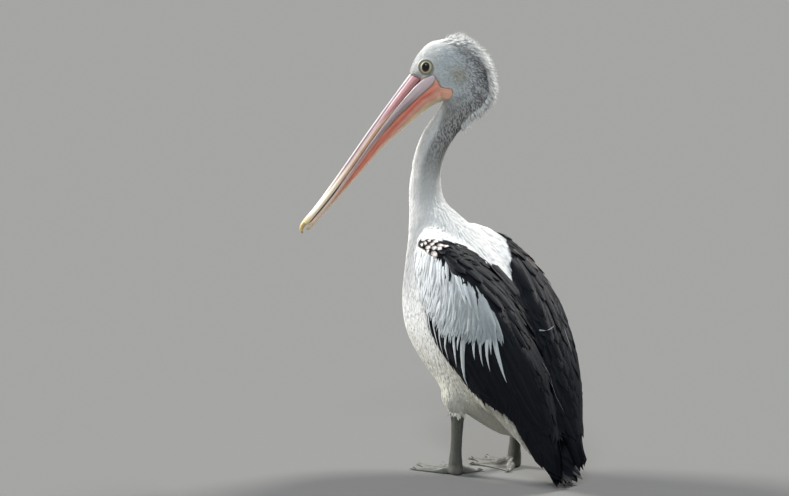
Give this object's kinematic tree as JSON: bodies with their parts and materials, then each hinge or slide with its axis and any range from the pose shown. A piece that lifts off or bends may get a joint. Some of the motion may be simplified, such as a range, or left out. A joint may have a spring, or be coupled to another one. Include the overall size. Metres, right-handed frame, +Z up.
{
  "type": "pelican",
  "caption": "Life-size standing Australian pelican with its head turned and its long bill lowered, wings folded, as a still museum model.",
  "frame": {"origin": "middle of the bottom face of the bounding box, on the floor under the bird", "axes": "+Z up, the bird faces -Y, +X is its left side"},
  "size_m": [0.3372, 0.694, 0.9996],
  "materials": {
    "white_plumage": "soft white and grey body feathers",
    "grey_plumage": "short grey-flecked feathers of the nape and hindneck",
    "black_plumage": "black flight feathers with a faint silky sheen",
    "bill_horn": "smooth horn, pink with a pale ridge and a yellow tip",
    "pouch_skin": "thin moist salmon-red skin",
    "leg_skin": "scaly blue-grey skin",
    "eye_surface": "wet dark brown eye with a black pupil"
  },
  "bodies": {
    "root": {"head": "white_plumage", "neck_upper": "grey_plumage", "neck_lower": "white_plumage", "trunk": "white_plumage", "bill_upper": "bill_horn", "bill_lower": "bill_horn", "pouch": "pouch_skin", "tail": "black_plumage", "eye_left": "eye_surface", "wing_left": "black_plumage", "thigh_left": "white_plumage", "tarsus_left": "leg_skin", "foot_left": "leg_skin", "eye_right": "eye_surface", "wing_right": "black_plumage", "thigh_right": "white_plumage", "tarsus_right": "leg_skin", "foot_right": "leg_skin"}
  },
  "joints": []
}
